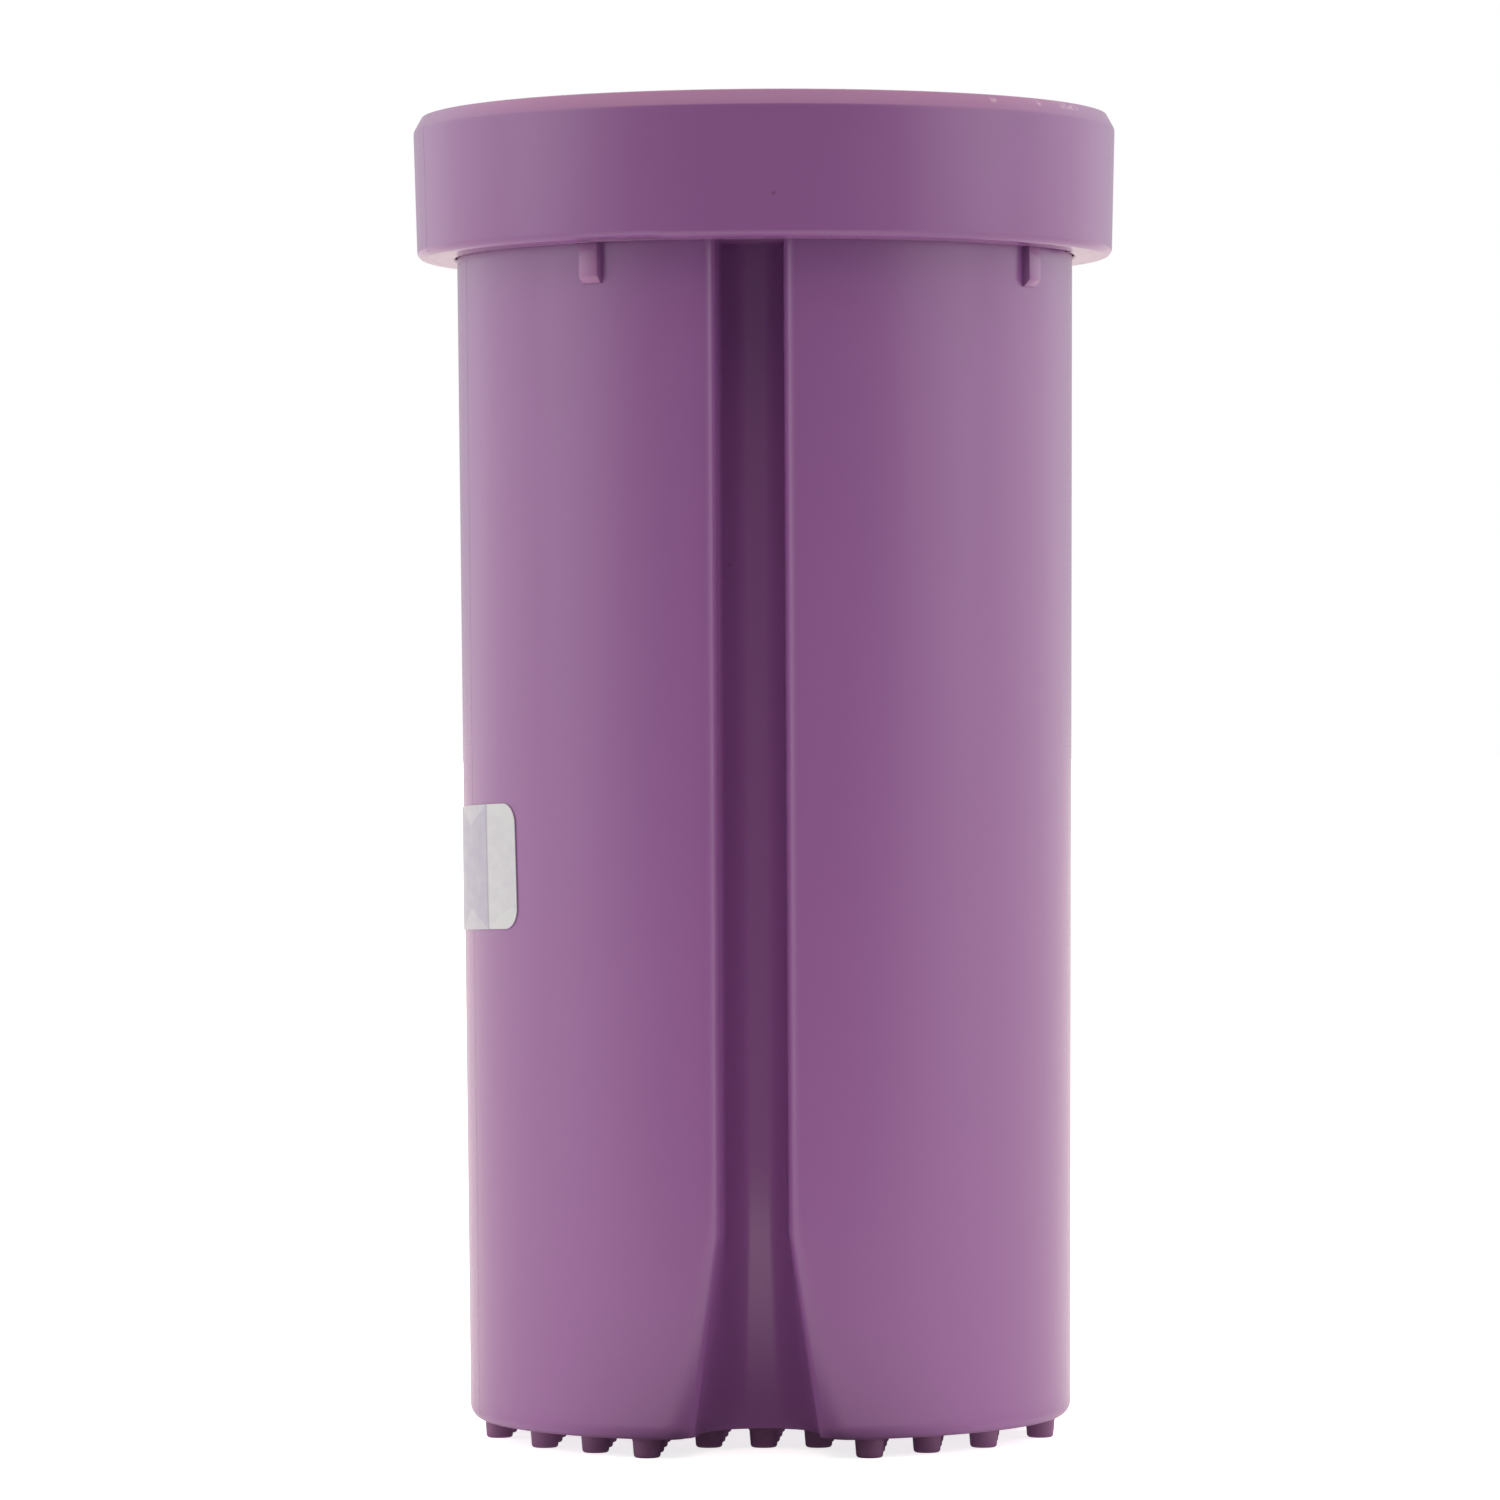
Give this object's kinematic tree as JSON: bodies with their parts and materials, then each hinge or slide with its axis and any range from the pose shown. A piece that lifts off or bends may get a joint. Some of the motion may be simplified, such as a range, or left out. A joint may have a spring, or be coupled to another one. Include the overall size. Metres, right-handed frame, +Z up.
{
  "type": "paw washer cup",
  "caption": "Tall round paw washing cup with a deep channel down the front, a studded base pad, a bristle-lined insert and a wide bayonet collar round its open mouth.",
  "frame": {"origin": "centre of the base, on the surface that the studs stand on, on the cup's axis", "axes": "+Z up the cup's axis to its open mouth; -Y out through the channel in the wall; +X to the right when the channel faces the viewer"},
  "size_m": [0.104, 0.104, 0.1954],
  "materials": {
    "mauve_plastic": "satin moulded polypropylene",
    "mauve_rubber": "soft moulded rubber",
    "lilac_silicone": "soft moulded silicone",
    "grey_silicone": "soft moulded silicone",
    "silver_label": "silvery coated paper"
  },
  "bodies": {
    "cup": {"cup_body": "mauve_plastic", "base_brush_pad": "mauve_rubber", "label_sticker": "silver_label"},
    "insert": {"brush_sleeve": "mauve_plastic", "bristle_panel_1": "lilac_silicone", "bristle_panel_2": "lilac_silicone", "bristle_panel_3": "lilac_silicone", "bristle_panel_4": "lilac_silicone", "bristle_panel_5": "lilac_silicone", "bristle_panel_6": "lilac_silicone"},
    "seal": {"rim_gasket": "grey_silicone"},
    "collar": {"collar_shell": "mauve_plastic", "bayonet_ring": "mauve_plastic"}
  },
  "joints": [
    {"name": "insert_lift", "type": "slide", "parent": "cup", "child": "insert", "axis": [0, 0, 1], "range_m": [0, 0.19]},
    {"name": "collar_lift", "type": "slide", "parent": "insert", "child": "seal", "axis": [0, 0, 1], "range_m": [0, 0.04]},
    {"name": "collar_turn", "type": "hinge", "parent": "seal", "child": "collar", "pos_m": [0, 0, 0.185], "axis": [0, 0, -1], "range_deg": [0, 14]}
  ]
}
